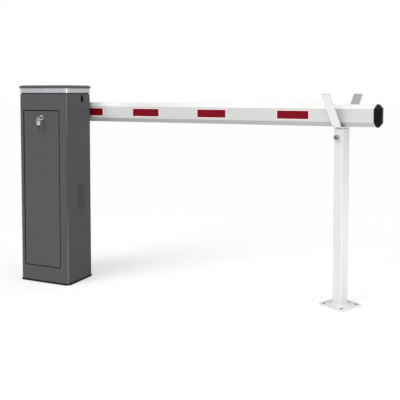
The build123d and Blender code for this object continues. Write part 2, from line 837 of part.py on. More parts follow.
# Fork: one flat bar bent into a tray with two arms that lean outwards
with BuildPart() as fork_cradle:
    with BuildSketch(fork_plane):
        with BuildLine() as strap_line:
            Polyline(
                (-fork_top, strap_top + fork_height),
                (-fork_floor / 2, strap_top),
                (fork_floor / 2, strap_top),
                (fork_top, strap_top + fork_height),
            )
            fillet(strap_line.vertices().group_by(Axis.Y)[0], strap_bend)
            offset(amount=strap_thickness, side=Side.RIGHT)
        make_face()
    extrude(amount=strap_width / 2, both=True)
    strap_ends = fork_cradle.faces().sort_by(Axis.Z)[-2:]
    fillet(strap_ends.edges().filter_by(lambda e: e.length < strap_corner), strap_corner)
fork_cradle.part.label = "fork_cradle"
export_step(fork_cradle.part, "parts/fork_cradle.step")

# Set bolt that holds the stem
with BuildPart() as set_bolt:
    with BuildSketch(set_bolt_plane.offset(set_nut_height)):
        RegularPolygon(set_bolt_head_radius, 6)
    extrude(amount=set_bolt_head_height)
    with BuildSketch(set_bolt_plane.offset(set_nut_height)):
        Circle(set_bolt_radius)
    extrude(amount=-set_nut_height - (tube_size - stem_size) / 2)
set_bolt.part.label = "set_bolt"
export_step(set_bolt.part, "parts/set_bolt.step")
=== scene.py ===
import json
import math

import bmesh
import bpy
from bpy.props import FloatProperty, FloatVectorProperty, PointerProperty
from mathutils import Matrix, Vector, noise


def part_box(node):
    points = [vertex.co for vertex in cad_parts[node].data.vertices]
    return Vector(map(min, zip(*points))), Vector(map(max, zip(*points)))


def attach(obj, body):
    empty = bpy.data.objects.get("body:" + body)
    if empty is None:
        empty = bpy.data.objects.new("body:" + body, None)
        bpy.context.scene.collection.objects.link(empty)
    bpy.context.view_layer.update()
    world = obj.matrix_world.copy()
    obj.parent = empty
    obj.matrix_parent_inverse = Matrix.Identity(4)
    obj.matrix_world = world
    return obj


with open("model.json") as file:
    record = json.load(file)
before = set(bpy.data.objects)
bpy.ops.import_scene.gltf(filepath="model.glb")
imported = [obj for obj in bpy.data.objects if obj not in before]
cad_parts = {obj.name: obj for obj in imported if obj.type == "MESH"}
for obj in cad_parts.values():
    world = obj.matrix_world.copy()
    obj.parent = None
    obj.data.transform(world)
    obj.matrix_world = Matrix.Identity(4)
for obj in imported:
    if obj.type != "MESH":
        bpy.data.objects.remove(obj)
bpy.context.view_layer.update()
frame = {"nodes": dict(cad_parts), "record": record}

bl_info = {
    "name": "Boom Barrier",
    "version": (1, 0, 0),
    "blender": (4, 5, 0),
    "location": "View3D > Sidebar > Barrier",
    "description": "Gives the parking boom barrier its finishes and small parts, and sets its stage",
    "category": "Object",
}


def linear(hex_colour):
    """An sRGB hex colour as linear red, green and blue."""
    shares = [int(hex_colour[i:i + 2], 16) / 255 for i in (1, 3, 5)]
    return tuple(s / 12.92 if s <= 0.04045 else ((s + 0.055) / 1.055) ** 2.4 for s in shares)


# User settings

class BarrierColours(bpy.types.PropertyGroup):
    """Colours of the barrier's finishes."""

    cabinet: FloatVectorProperty(
        name="Cabinet", description="Powder coat of the cabinet and its door",
        subtype="COLOR", size=3, min=0, max=1, default=linear("#4E4E4F"))
    fittings: FloatVectorProperty(
        name="Black steel", description="Powder coat of the base plate, boom carrier and boom clamp",
        subtype="COLOR", size=3, min=0, max=1, default=linear("#161617"))
    collar: FloatVectorProperty(
        name="Roof collar", description="Powder coat of the collar that makes the groove under the band",
        subtype="COLOR", size=3, min=0, max=1, default=linear("#444547"))
    # The lid's coat is a paler copy of the cabinet's: painted light that lifts the lid, whose flared rim
    # faces a little down and so is shaded
    lid: FloatVectorProperty(
        name="Lid", description="Powder coat of the lid, from a slightly paler batch",
        subtype="COLOR", size=3, min=0, max=1, default=linear("#575759"))
    boom: FloatVectorProperty(
        name="Boom", description="Powder coat of the boom's aluminium profile",
        subtype="COLOR", size=3, min=0, max=1, default=linear("#B9B9B8"))
    post: FloatVectorProperty(
        name="Post", description="Powder coat of the post and its foot",
        subtype="COLOR", size=3, min=0, max=1, default=linear("#C9C9C8"))
    fork: FloatVectorProperty(
        name="Fork", description="Powder coat of the fork",
        subtype="COLOR", size=3, min=0, max=1, default=linear("#DADAD9"))
    strips: FloatVectorProperty(
        name="Strips", description="Retroreflective film on the boom",
        subtype="COLOR", size=3, min=0, max=1, default=linear("#6E0216"))
    strip_edge: FloatVectorProperty(
        name="Strip edge", description="Bare edge of the film round each strip",
        subtype="COLOR", size=3, min=0, max=1, default=linear("#E6D2D3"))
    caps: FloatVectorProperty(
        name="Caps", description="Moulded caps of the boom",
        subtype="COLOR", size=3, min=0, max=1, default=linear("#0D0D0E"))
    # This grey is painted shade on the faces that look up into the fork
    inner_painted_shade: FloatVectorProperty(
        name="Fork lining", description="Polyurethane lining inside the fork",
        subtype="COLOR", size=3, min=0, max=1, default=linear("#858585"))
    castings: FloatVectorProperty(
        name="Castings", description="Enamel of the gearbox and motor",
        subtype="COLOR", size=3, min=0, max=1, default=linear("#73777B"))
    floor: FloatVectorProperty(
        name="Floor", description="Opal acrylic of the lit floor",
        subtype="COLOR", size=3, min=0, max=1, default=linear("#B3B3B3"))


class BarrierSizes(bpy.types.PropertyGroup):
    """Sizes of the small parts that are added to the model."""

    strip_border: FloatProperty(
        name="Strip border", description="Width of the pale edge round each strip",
        unit="LENGTH", min=0.001, max=0.01, default=0.003)
    strip_thickness: FloatProperty(
        name="Film thickness", description="Thickness of the film's pale edge",
        unit="LENGTH", min=0.0001, max=0.001, default=0.0003)
    bezel_width: FloatProperty(
        name="Release bezel", description="Width of the black rim round the keyhole of the hand release",
        unit="LENGTH", min=0.001, max=0.008, default=0.0035)
    seal_width: FloatProperty(
        name="Door seal", description="Width of the rubber trim on the edge of the door opening",
        unit="LENGTH", min=0.002, max=0.008, default=0.004)
    weld_leg: FloatProperty(
        name="Weld", description="Leg of the weld between the post and its foot",
        unit="LENGTH", min=0.002, max=0.008, default=0.0045)
    bolt_flats: FloatProperty(
        name="Bolt heads", description="Width across the flats of the bolt heads",
        unit="LENGTH", min=0.008, max=0.02, default=0.013)
    bolt_height: FloatProperty(
        name="Bolt height", description="Height of the bolt heads",
        unit="LENGTH", min=0.003, max=0.01, default=0.0053)
    post_turn: FloatProperty(
        name="Post turn", description="Angle that the post is turned about its own axis",
        subtype="ANGLE", min=0, max=math.pi / 2, default=math.radians(27))
    foot_holes: FloatProperty(
        name="Foot holes", description="Distance between the holes of the post's foot",
        unit="LENGTH", min=0.05, max=0.2, default=0.10324)
    foot_hole: FloatProperty(
        name="Foot hole", description="Width of each hole of the post's foot",
        unit="LENGTH", min=0.006, max=0.02, default=0.011)
    post_tube: FloatProperty(
        name="Post tube", description="Width of the post's square tube",
        unit="LENGTH", min=0.03, max=0.1, default=0.05)


class BarrierStage(bpy.types.PropertyGroup):
    """Camera and light."""

    focal_length: FloatProperty(
        name="Focal length", description="Focal length on a sensor 36 mm wide, in millimetres",
        min=20, max=200, default=59.2)
    camera_place: FloatVectorProperty(
        name="Camera place", description="Where the camera stands",
        subtype="TRANSLATION", size=3, default=(2.1087, -2.8058, 0.9798))
    camera_turn: FloatProperty(
        name="Camera turn", description="Angle between the line of sight and +Y, seen from above",
        subtype="ANGLE", default=math.radians(24.53))
    camera_dip: FloatProperty(
        name="Camera dip", description="Angle that the camera looks down",
        subtype="ANGLE", default=math.radians(3))
    camera_shift: FloatProperty(
        name="Camera shift", description="Vertical shift of the frame, as a share of its width",
        min=-0.5, max=0.5, default=-0.1857)
    key_strength: FloatProperty(
        name="Key light",
        description="Strength of the soft light in front on the left, in watts per square metre",
        min=0, max=20, default=2.0)
    top_strength: FloatProperty(
        name="Top light",
        description="Strength of the soft light above, in watts per square metre",
        min=0, max=20, default=1.5)
    floor_glow: FloatProperty(
        name="Floor glow", description="Strength of the light that comes up through the floor",
        min=0, max=5, default=0.48)
    boom_power: FloatProperty(
        name="Boom softbox", description="Power of the long softbox above the boom, in watts",
        min=0, max=2000, default=3)
    rim_power: FloatProperty(
        name="Rim softbox",
        description="Power of the tall narrow softbox in front on the right, in watts",
        min=0, max=2000, default=5)
    post_power: FloatProperty(
        name="Post softbox", description="Power of the tall softbox close to the post, in watts",
        min=0, max=2000, default=1.65)
    root_power: FloatProperty(
        name="Root softbox", description="Power of the gridded softbox on the boom's root, in watts",
        min=0, max=2000, default=0.125)


# Shader building

# The Mix node's sockets share their names, so they are reached by number
SHARE, VALUE_A, VALUE_B, COLOUR_A, COLOUR_B = 0, 2, 3, 6, 7
MIXED_VALUE, MIXED_COLOUR = 0, 2


def add_node(tree, kind, settings=None, links=None):
    """Adds one node, sets its properties and sockets, and links its inputs."""
    node = tree.nodes.new(kind)
    for key, value in (settings or {}).items():
        if isinstance(key, str) and key in node.bl_rna.properties:
            setattr(node, key, value)
        else:
            node.inputs[key].default_value = value
    for key, socket in (links or {}).items():
        tree.links.new(socket, node.inputs[key])
    return node


def new_finish(name, colour, roughness, metallic=0.0, ior=1.5):
    """A material that starts from its typical colour, roughness, metallic and IOR."""
    finish = bpy.data.materials.new(name)
    finish.use_nodes = True
    finish.diffuse_color = (*colour, 1)
    shader = finish.node_tree.nodes["Principled BSDF"]
    shader.inputs["Base Color"].default_value = (*colour, 1)
    shader.inputs["Roughness"].default_value = roughness
    shader.inputs["Metallic"].default_value = metallic
    if metallic == 0:
        shader.inputs["IOR"].default_value = ior
    return finish, finish.node_tree, shader


def per_size(millimetres):
    """The scale of a pattern whose features repeat at this size."""
    return 1000 / millimetres


def lay_grain(
        tree, shader, colour, grain_mm, depth_mm, mottle_mm, mottle, roughness,
        stretch=(1, 1, 1), edge_mm=0):
    """Lays fine relief, cloudy tone and uneven gloss, and gives the sockets that a finish builds on.

    Sizes are in millimetres, mottle is the share that the tone moves up and down, and roughness is its
    lowest and highest value. A finish with an edge size looks rounded by that much at its edges.
    """
    place = add_node(tree, "ShaderNodeTexCoord").outputs["Object"]
    run = add_node(
        tree, "ShaderNodeMapping", {"Scale": stretch}, {"Vector": place}).outputs["Vector"]
    grain = add_node(
        tree, "ShaderNodeTexNoise",
        {"Scale": per_size(grain_mm), "Detail": 2, "Roughness": 0.55}, {"Vector": run}).outputs["Fac"]
    cloud = add_node(
        tree, "ShaderNodeTexNoise",
        {"Scale": per_size(mottle_mm), "Detail": 3, "Roughness": 0.6},
        {"Vector": place}).outputs["Fac"]
    # Tone and gloss follow the clouds by two thirds and the grain by one
    both = add_node(
        tree, "ShaderNodeMix", {"data_type": "FLOAT", SHARE: 0.35},
        {VALUE_A: cloud, VALUE_B: grain}).outputs[MIXED_VALUE]
    darker = tuple(c * (1 - mottle) for c in colour)
    lighter = tuple(min(1, c * (1 + mottle)) for c in colour)
    tone = add_node(
        tree, "ShaderNodeMix",
        {"data_type": "RGBA", COLOUR_A: (*darker, 1), COLOUR_B: (*lighter, 1)},
        {SHARE: both}).outputs[MIXED_COLOUR]
    tree.links.new(tone, shader.inputs["Base Color"])
    gloss = add_node(
        tree, "ShaderNodeMapRange",
        {"From Min": 0.3, "From Max": 0.7, "To Min": roughness[0], "To Max": roughness[1]},
        {"Value": both})
    tree.links.new(gloss.outputs["Result"], shader.inputs["Roughness"])
    relief = add_node(
        tree, "ShaderNodeBump", {"Strength": 1, "Distance": depth_mm / 1000}, {"Height": grain})
    if edge_mm:
        edge = add_node(tree, "ShaderNodeBevel", {"samples": 4, "Radius": edge_mm / 1000})
        tree.links.new(edge.outputs["Normal"], relief.inputs["Normal"])
    tree.links.new(relief.outputs["Normal"], shader.inputs["Normal"])
    return {"place": place, "grain": grain, "tone": tone}


def fold_measure(tree):
    """A value that is 0 on a flat side and a half in the middle of an upright fold.

    It is the product of both level parts of the normal, which is largest where they are alike.
    """
    way = add_node(tree, "ShaderNodeTexCoord").outputs["Normal"]
    parts = add_node(tree, "ShaderNodeSeparateXYZ", links={"Vector": way}).outputs
    product = add_node(
        tree, "ShaderNodeMath", {"operation": "MULTIPLY"},
        {0: parts["X"], 1: parts["Y"]}).outputs["Value"]
    return add_node(tree, "ShaderNodeMath", {"operation": "ABSOLUTE"}, {0: product}).outputs["Value"]


# Finishes

# The waves of orange peel in smooth powder are about 3 mm long
ORANGE_PEEL = {"grain_mm": 3, "depth_mm": 0.03, "mottle_mm": 120, "mottle": 0.012, "edge_mm": 1}


def textured_powder_coat(name, colour):
    """Polyester powder, sprayed and baked on sheet steel in a fine texture.

    The eye gets a dull satin skin, a painted highlight along each upright fold and edges that are never
    sharp.
    """
    finish, tree, shader = new_finish(name, colour, roughness=0.45)
    # The texture shades itself, so little gloss is left at a low angle
    shader.inputs["Specular IOR Level"].default_value = 0.05
    shader.inputs["Coat Weight"].default_value = 0.1
    shader.inputs["Coat Roughness"].default_value = 0.2
    # The real texture repeats at about 0.5 mm; it is drawn at 1.6 mm, because finer doesn't show
    laid = lay_grain(
        tree, shader, colour, grain_mm=1.6, depth_mm=0.05, mottle_mm=90, mottle=0.035,
        roughness=(0.5, 0.6), edge_mm=0.8)
    # A painted highlight lightens the middle of each upright fold, thin near the top and wider near the
    # ground: the least fold measure, the height where it starts, where it is full, and its share
    fold_highlight_places = ((0.485, 0.70, 0.85, 0.1), (0.42, 0.42, 0.18, 0.075))
    fold = fold_measure(tree)
    height = add_node(tree, "ShaderNodeSeparateXYZ", links={"Vector": laid["place"]}).outputs["Z"]
    fold_highlights = []
    for least, start, full, share in fold_highlight_places:
        line = add_node(
            tree, "ShaderNodeMapRange",
            {"interpolation_type": "SMOOTHSTEP", "From Min": least, "From Max": 0.5}, {"Value": fold})
        reach = add_node(
            tree, "ShaderNodeMapRange",
            {"From Min": start, "From Max": full, "To Min": 0, "To Max": share}, {"Value": height})
        fold_highlights.append(add_node(
            tree, "ShaderNodeMath", {"operation": "MULTIPLY"},
            {0: line.outputs["Result"], 1: reach.outputs["Result"]}).outputs["Value"])
    fold_highlight_share = add_node(tree, "ShaderNodeMath", {"operation": "MAXIMUM"}, {0: fold_highlights[0], 1: fold_highlights[1]})
    # Painted highlight: the tone is mixed towards #F3F3F3 along the folds
    wear_and_painted_light = add_node(
        tree, "ShaderNodeMix", {"data_type": "RGBA", COLOUR_B: (*linear("#F3F3F3"), 1)},
        {SHARE: fold_highlight_share.outputs["Value"], COLOUR_A: laid["tone"]})
    tree.links.new(wear_and_painted_light.outputs[MIXED_COLOUR], shader.inputs["Base Color"])
    return finish


def smooth_powder_coat(name, colour):
    """Polyester powder, baked smooth on steel tube and plate.

    The eye gets a bright white skin with a faint orange peel, and round edges where it builds up.
    """
    finish, tree, shader = new_finish(name, colour, roughness=0.32)
    lay_grain(tree, shader, colour, roughness=(0.27, 0.36), **ORANGE_PEEL)
    return finish


def drilled_powder_coat(name, colour, centre, turn, spacing, radius):
    """The same coat on a plate drilled at four places of a square.

    The eye gets four dark dots: painted shade on each hole's wall and round its rim.
    """
    finish, tree, shader = new_finish(name, colour, roughness=0.32)
    laid = lay_grain(tree, shader, colour, roughness=(0.27, 0.36), **ORANGE_PEEL)
    # The pattern is turned with the plate, and folded so that one quarter serves all four holes
    plate = add_node(
        tree, "ShaderNodeMapping",
        {"vector_type": "TEXTURE", "Location": (*centre, 0), "Rotation": (0, 0, turn)},
        {"Vector": laid["place"]})
    quarter = add_node(
        tree, "ShaderNodeVectorMath", {"operation": "ABSOLUTE"}, {0: plate.outputs["Vector"]})
    flat = add_node(
        tree, "ShaderNodeVectorMath", {"operation": "MULTIPLY", 1: (1, 1, 0)},
        {0: quarter.outputs["Vector"]})
    away = add_node(
        tree, "ShaderNodeVectorMath",
        {"operation": "DISTANCE", 1: (spacing / 2, spacing / 2, 0)}, {0: flat.outputs["Vector"]})
    # The painted shade is full up to 1.4 mm out from the hole's rim and fades out by 2.6 mm
    shade_full_radius, shade_end_radius = radius + 0.0014, radius + 0.0026
    bare = add_node(
        tree, "ShaderNodeMapRange",
        {"From Min": shade_full_radius, "From Max": shade_end_radius, "To Min": 1, "To Max": 0},
        {"Value": away.outputs["Value"]})
    # 232221 is the colour of the painted shade in and round the holes
    skin = add_node(
        tree, "ShaderNodeMix", {"data_type": "RGBA", COLOUR_B: (*linear("#232221"), 1)},
        {SHARE: bare.outputs["Result"], COLOUR_A: laid["tone"]})
    tree.links.new(skin.outputs[MIXED_COLOUR], shader.inputs["Base Color"])
    return finish


def powder_coat_with_painted_inner_shade(name, colour, inner_painted_shade):
    """Powder-coated flat bar, white, with grey painted shade on the faces that look up.

    The eye gets the post's white outside and a dull grey, which is painted shade, on the faces that look
    up into the fork.
    """
    finish, tree, shader = new_finish(name, colour, roughness=0.32)
    laid = lay_grain(tree, shader, colour, roughness=(0.3, 0.4), **ORANGE_PEEL)
    way = add_node(tree, "ShaderNodeTexCoord").outputs["Normal"]
    up = add_node(tree, "ShaderNodeSeparateXYZ", links={"Vector": way}).outputs["Z"]
    # The arms lean, so their inner faces look up by a third or more and their outer faces look down
    inside = add_node(
        tree, "ShaderNodeMapRange", {"From Min": 0.3, "From Max": 0.36}, {"Value": up})
    # Painted shade: the faces that look up into the fork take the grey
    skin = add_node(
        tree, "ShaderNodeMix", {"data_type": "RGBA", COLOUR_B: (*inner_painted_shade, 1)},
        {SHARE: inside.outputs["Result"], COLOUR_A: laid["tone"]})
    tree.links.new(skin.outputs[MIXED_COLOUR], shader.inputs["Base Color"])
    return finish


def coated_aluminium(name, colour):
    """Aluminium profile, extruded and powder coated white.

    The eye gets flat, even faces with long die lines along the profile and crisp but soft corners,
    and a greyer tone on the faces that look down, which is painted shade.
    """
    finish, tree, shader = new_finish(name, colour, roughness=0.36)
    # Die lines run along the boom, one each 2 mm or so
    laid = lay_grain(
        tree, shader, colour, grain_mm=2, depth_mm=0.012, mottle_mm=150, mottle=0.012,
        roughness=(0.3, 0.4), stretch=(0.01, 1, 1), edge_mm=1.2)
    way = add_node(tree, "ShaderNodeTexCoord").outputs["Normal"]
    up = add_node(tree, "ShaderNodeSeparateXYZ", links={"Vector": way}).outputs["Z"]
    # Painted shade: faces that look down by half or more are mixed three tenths of the way to #6E6C68
    under = add_node(
        tree, "ShaderNodeMapRange",
        {"From Min": -0.5, "From Max": -0.3, "To Min": 0.3, "To Max": 0}, {"Value": up})
    # The tone with its painted shade on the faces that look down
    film = add_node(
        tree, "ShaderNodeMix", {"data_type": "RGBA", COLOUR_B: (*linear("#6E6C68"), 1)},
        {SHARE: under.outputs["Result"], COLOUR_A: laid["tone"]})
    tree.links.new(film.outputs[MIXED_COLOUR], shader.inputs["Base Color"])
    return finish


def anodised_aluminium(name):
    """Aluminium strip, brushed along its length and anodised in its natural colour.

    The eye gets a silvery satin shine, fine level lines and a painted highlight at each bend.
    """
    colour = linear("#B6B7BB")
    finish, tree, shader = new_finish(name, colour, roughness=0.34, metallic=1)
    # Brush lines are under 0.3 mm apart; they are drawn at 0.8 mm, because finer doesn't show
    laid = lay_grain(
        tree, shader, colour, grain_mm=0.8, depth_mm=0.004, mottle_mm=60, mottle=0.03,
        roughness=(0.24, 0.34), stretch=(0.01, 0.01, 1), edge_mm=0.8)
    # A painted highlight lightens the outside of each bend
    bend = add_node(
        tree, "ShaderNodeMapRange",
        {"interpolation_type": "SMOOTHSTEP", "From Min": 0, "From Max": 0.5, "To Min": 0,
         "To Max": 0.8}, {"Value": fold_measure(tree)})
    # Painted highlight: the tone is mixed towards #DCDCDE on the bend
    bend_highlight_tone = add_node(
        tree, "ShaderNodeMix", {"data_type": "RGBA", COLOUR_B: (*linear("#DCDCDE"), 1)},
        {SHARE: bend.outputs["Result"], COLOUR_A: laid["tone"]})
    tree.links.new(bend_highlight_tone.outputs[MIXED_COLOUR], shader.inputs["Base Color"])
    return finish


def retroreflective_film(name, colour):
    """Acrylic film with sealed cells of prisms, cut and stuck on.

    The eye gets a deep, even red with a faint net of paler cell walls, and almost no gloss.
    """
    finish, tree, shader = new_finish(name, colour, roughness=0.3)
    shader.inputs["Specular IOR Level"].default_value = 0.06
    laid = lay_grain(
        tree, shader, colour, grain_mm=1.2, depth_mm=0.01, mottle_mm=40, mottle=0.08,
        roughness=(0.28, 0.4))
    # The sealed cells are about 4 mm across, with walls a tenth of that
    walls = add_node(
        tree, "ShaderNodeTexVoronoi",
        {"feature": "DISTANCE_TO_EDGE", "Scale": per_size(4), "Randomness": 0.25},
        {"Vector": laid["place"]})
    wall = add_node(
        tree, "ShaderNodeMapRange",
        {"From Min": 0.02, "From Max": 0.1, "To Min": 0.06, "To Max": 0},
        {"Value": walls.outputs["Distance"]})
    # A wall is paler than its cell by a seventh of the way to white
    pale = tuple(c + (1 - c) * 0.14 for c in colour)
    net = add_node(
        tree, "ShaderNodeMix", {"data_type": "RGBA", COLOUR_B: (*pale, 1)},
        {SHARE: wall.outputs["Result"], COLOUR_A: laid["tone"]})
    tree.links.new(net.outputs[MIXED_COLOUR], shader.inputs["Base Color"])
    return finish


def cast_vinyl(name, colour):
    """Cast vinyl, the bare rim of the film.

    The eye gets a thin, even, slightly glossy line, a little pink beside the red.
    """
    finish, tree, shader = new_finish(name, colour, roughness=0.35)
    lay_grain(
        tree, shader, colour, grain_mm=2, depth_mm=0.005, mottle_mm=30, mottle=0.02,
        roughness=(0.3, 0.42))
    return finish


def moulded_polyamide(name, colour):
    """Glass-filled polyamide, injection moulded in a spark-eroded tool.

    The eye gets a near-black with a dull pebbled skin and edges that are never sharp.
    """
    finish, tree, shader = new_finish(name, colour, roughness=0.5, ior=1.53)
    shader.inputs["Specular IOR Level"].default_value = 0.07
    # Spark erosion leaves pits of about 0.3 mm; they are drawn at 1.2 mm, because finer doesn't show
    lay_grain(
        tree, shader, colour, grain_mm=1.2, depth_mm=0.05, mottle_mm=25, mottle=0.12,
        roughness=(0.42, 0.58), edge_mm=1)
    return finish


def zinc_plate(name):
    """Steel, turned or stamped and bright zinc plated.

    The eye gets a bluish grey metal whose gloss changes from patch to patch.
    """
    colour = linear("#AEB2B8")
    finish, tree, shader = new_finish(name, colour, roughness=0.36, metallic=1)
    lay_grain(
        tree, shader, colour, grain_mm=1.5, depth_mm=0.01, mottle_mm=9, mottle=0.1,
        roughness=(0.26, 0.46), edge_mm=0.4)
    return finish


def nickel_plate(name):
    """Brass, die cast or stamped and nickel plated.

    The eye gets a bright metal with sharp lights and fine scratches.
    """
    colour = linear("#D5D5D4")
    finish, tree, shader = new_finish(name, colour, roughness=0.2, metallic=1)
    # Scratches from use are far thinner than shows, so they are drawn 0.6 mm wide and 4 mm long
    lay_grain(
        tree, shader, colour, grain_mm=0.6, depth_mm=0.004, mottle_mm=6, mottle=0.06,
        roughness=(0.14, 0.3), stretch=(1, 1, 0.15), edge_mm=0.3)
    return finish


def burnished_steel(name):
    """Steel bolt, rolled, hardened and left dark, then scuffed bright in places by the spanner.

    The eye gets a dark grey head with paler and darker patches, partly wear and partly painted highlight
    and shade.
    """
    colour = linear("#8A8B8D")
    finish, tree, shader = new_finish(name, colour, roughness=0.35, metallic=1)
    # The patches are about as wide as a spanner's bite, 5 mm; they are partly wear and partly painted
    # highlight and shade
    laid = lay_grain(
        tree, shader, colour, grain_mm=5, depth_mm=0.3, mottle_mm=9, mottle=0.3,
        roughness=(0.2, 0.5), edge_mm=0.6)
    patch = add_node(
        tree, "ShaderNodeMapRange",
        {"interpolation_type": "SMOOTHSTEP", "From Min": 0.44, "From Max": 0.56},
        {"Value": laid["grain"]})
    # The pale patches are partly a painted highlight and the dark ones partly painted shade, as on lit
    # and shaded facets
    wear_and_painted_light = add_node(
        tree, "ShaderNodeMix",
        {"data_type": "RGBA", COLOUR_A: (*linear("#565759"), 1), COLOUR_B: (*linear("#B4B4B2"), 1)},
        {SHARE: patch.outputs["Result"]})
    tree.links.new(wear_and_painted_light.outputs[MIXED_COLOUR], shader.inputs["Base Color"])
    return finish


def worn_nickel_silver(name, tint, painted_shade_below=None):
    """Nickel silver, stamped, milled and dulled in the hand.

    The eye gets a greyish metal with bright and dark patches a few millimetres wide. Below the given
    height it is darkened with painted shade.
    """
    colour = linear(tint)
    finish, tree, shader = new_finish(name, colour, roughness=0.3, metallic=1)
    laid = lay_grain(
        tree, shader, colour, grain_mm=1.5, depth_mm=0.03, mottle_mm=7, mottle=0.4,
        roughness=(0.3, 0.55), edge_mm=0.3)
    if painted_shade_below is not None:
        height = add_node(
            tree, "ShaderNodeSeparateXYZ", links={"Vector": laid["place"]}).outputs["Z"]
        # The painted shade fades out over 4 mm and lets a little of the metal through
        blade_shade = add_node(
            tree, "ShaderNodeMapRange",
            {"From Min": painted_shade_below - 0.002, "From Max": painted_shade_below + 0.002,
             "To Min": 0.92, "To Max": 0}, {"Value": height})
        shaded_blade_tone = add_node(
            tree, "ShaderNodeMix", {"data_type": "RGBA", COLOUR_B: (*linear("#1E1E1F"), 1)},
            {SHARE: blade_shade.outputs["Result"], COLOUR_A: laid["tone"]})
        tree.links.new(shaded_blade_tone.outputs[MIXED_COLOUR], shader.inputs["Base Color"])
    return finish


def enamelled_casting(name, colour):
    """Aluminium housing, sand cast, blasted and enamelled grey.

    The eye gets a lumpy, pitted skin with a thick, even gloss over it.
    """
    finish, tree, shader = new_finish(name, colour, roughness=0.42)
    # Sand grains print pits of 1 to 3 mm
    lay_grain(
        tree, shader, colour, grain_mm=2.2, depth_mm=0.18, mottle_mm=50, mottle=0.06,
        roughness=(0.34, 0.5), edge_mm=1.5)
    return finish


def extruded_rubber(name):
    """EPDM rubber, extruded and clipped on.

    The eye gets a soft grey with no highlight and faint bloom.
    """
    colour = linear("#4A4A4B")
    finish, tree, shader = new_finish(name, colour, roughness=0.7, ior=1.52)
    lay_grain(
        tree, shader, colour, grain_mm=0.9, depth_mm=0.02, mottle_mm=20, mottle=0.15,
        roughness=(0.62, 0.8))
    return finish


def lit_acrylic(name, colour, glow):
    """Opal acrylic of a shooting table, cast matt and lit from below.

    The eye gets a pale even ground whose shadows are thin and soft.
    """
    finish, tree, shader = new_finish(name, colour, roughness=0.75, ior=1.49)
    shader.inputs["Emission Color"].default_value = (1, 1, 1, 1)
    shader.inputs["Emission Strength"].default_value = glow
    lay_grain(
        tree, shader, colour, grain_mm=4, depth_mm=0.02, mottle_mm=900, mottle=0.004,
        roughness=(0.7, 0.8))
    return finish


# Mesh building

def rounded_rectangle(width, height, radius, spacing, arc_steps=6):
    """Points anticlockwise round a rectangle with round corners, at most a spacing apart on its sides."""
    corners = [(1, -1, -90), (1, 1, 0), (-1, 1, 90), (-1, -1, 180)]
    arcs = []
    for across, up, start in corners:
        centre = Vector((across * (width / 2 - radius), up * (height / 2 - radius)))
        angles = [math.radians(start + 90 * n / arc_steps) for n in range(arc_steps + 1)]
        arcs.append([centre + radius * Vector((math.cos(a), math.sin(a))) for a in angles])
    points = []
    for n, arc in enumerate(arcs):
        points += arc
        start, end = arc[-1], arcs[(n + 1) % 4][0]
        steps = max(1, math.ceil((end - start).length / spacing))
        points += [start.lerp(end, k / steps) for k in range(1, steps)]
    return points


def join_rings(bm, rings, closed):
    """Joins each ring of points to the next one, and the last to the first if it is closed."""
    for ring, after in zip(rings, rings[1:] + (rings[:1] if closed else [])):
        for n, point in enumerate(ring):
            k = (n + 1) % len(ring)
            bm.faces.new((point, ring[k], after[k], after[n]))


def bar_round(bm, path, profile, place, swell=None):
    """Carries a closed profile round a closed flat path.

    Place turns a spot on the path's plane and its height into a point, and swell gives the profile's
    size at a point of the path.
    """
    rings = []
    for n, point in enumerate(path):
        ahead = (path[(n + 1) % len(path)] - path[n - 1]).normalized()
        outward = Vector((ahead.y, -ahead.x))
        size = swell(point) if swell else 1
        spots = [(point + outward * across * size, out * size) for across, out in profile]
        rings.append([bm.verts.new(place(spot.x, spot.y, out)) for spot, out in spots])
    join_rings(bm, rings, closed=True)


def turned_form(bm, outline, matrix, sides):
    """A form with this many sides from rings of radius and height, closed at both ends."""
    angles = [2 * math.pi * n / sides for n in range(sides)]
    rings = []
    for radius, height in outline:
        spots = [Vector((radius * math.cos(a), radius * math.sin(a), height)) for a in angles]
        rings.append([bm.verts.new(matrix @ spot) for spot in spots])
    join_rings(bm, rings, closed=False)
    bm.faces.new(list(reversed(rings[0])))
    bm.faces.new(rings[-1])


def bolt_head(bm, matrix, flats, height):
    """A hexagon head with a chamfered top on a flat washer that is 1.6 mm thick."""
    washer, edge = 0.0016, 0.0002
    under, rim, top = 0.86 * flats, 0.92 * flats, 0.89 * flats
    outline = [(under, 0), (rim, edge), (rim, washer - edge), (top, washer)]
    turned_form(bm, outline, matrix, sides=32)
    corner, shoulder = flats / math.sqrt(3), washer + 0.82 * height
    outline = [(corner, washer), (corner, shoulder), (0.88 * corner, washer + height)]
    turned_form(bm, outline, matrix, sides=6)


def finish_piece(name, bm, body, finish, bevel=0.0):
    """Turns built faces into a piece that rides on a body and takes a finish."""
    bmesh.ops.recalc_face_normals(bm, faces=bm.faces)
    mesh = bpy.data.meshes.new(name)
    bm.to_mesh(mesh)
    bm.free()
    mesh.shade_smooth()
    mesh.set_sharp_from_angle(angle=math.radians(40))
    mesh.materials.append(finish)
    piece = bpy.data.objects.new(name, mesh)
    bpy.context.scene.collection.objects.link(piece)
    if bevel:
        soften = piece.modifiers.new("soften", "BEVEL")
        soften.width = bevel
        soften.segments = 2
        soften.limit_method = "ANGLE"
    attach(piece, body)


def dress(names, finish):
    """Gives model pieces a finish."""
    for name in names:
        mesh = frame["nodes"][name].data
        mesh.materials.clear()
        mesh.materials.append(finish)


def middle(name):
    """The middle of a model piece's box."""
    low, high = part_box(name)
    return (low + high) / 2


def facing(centre, direction):
    """A matrix that puts a form's base at the centre, with its top towards the direction."""
    return Matrix.Translation(centre) @ Vector(direction).to_track_quat("Z", "Y").to_matrix().to_4x4()


# Operators

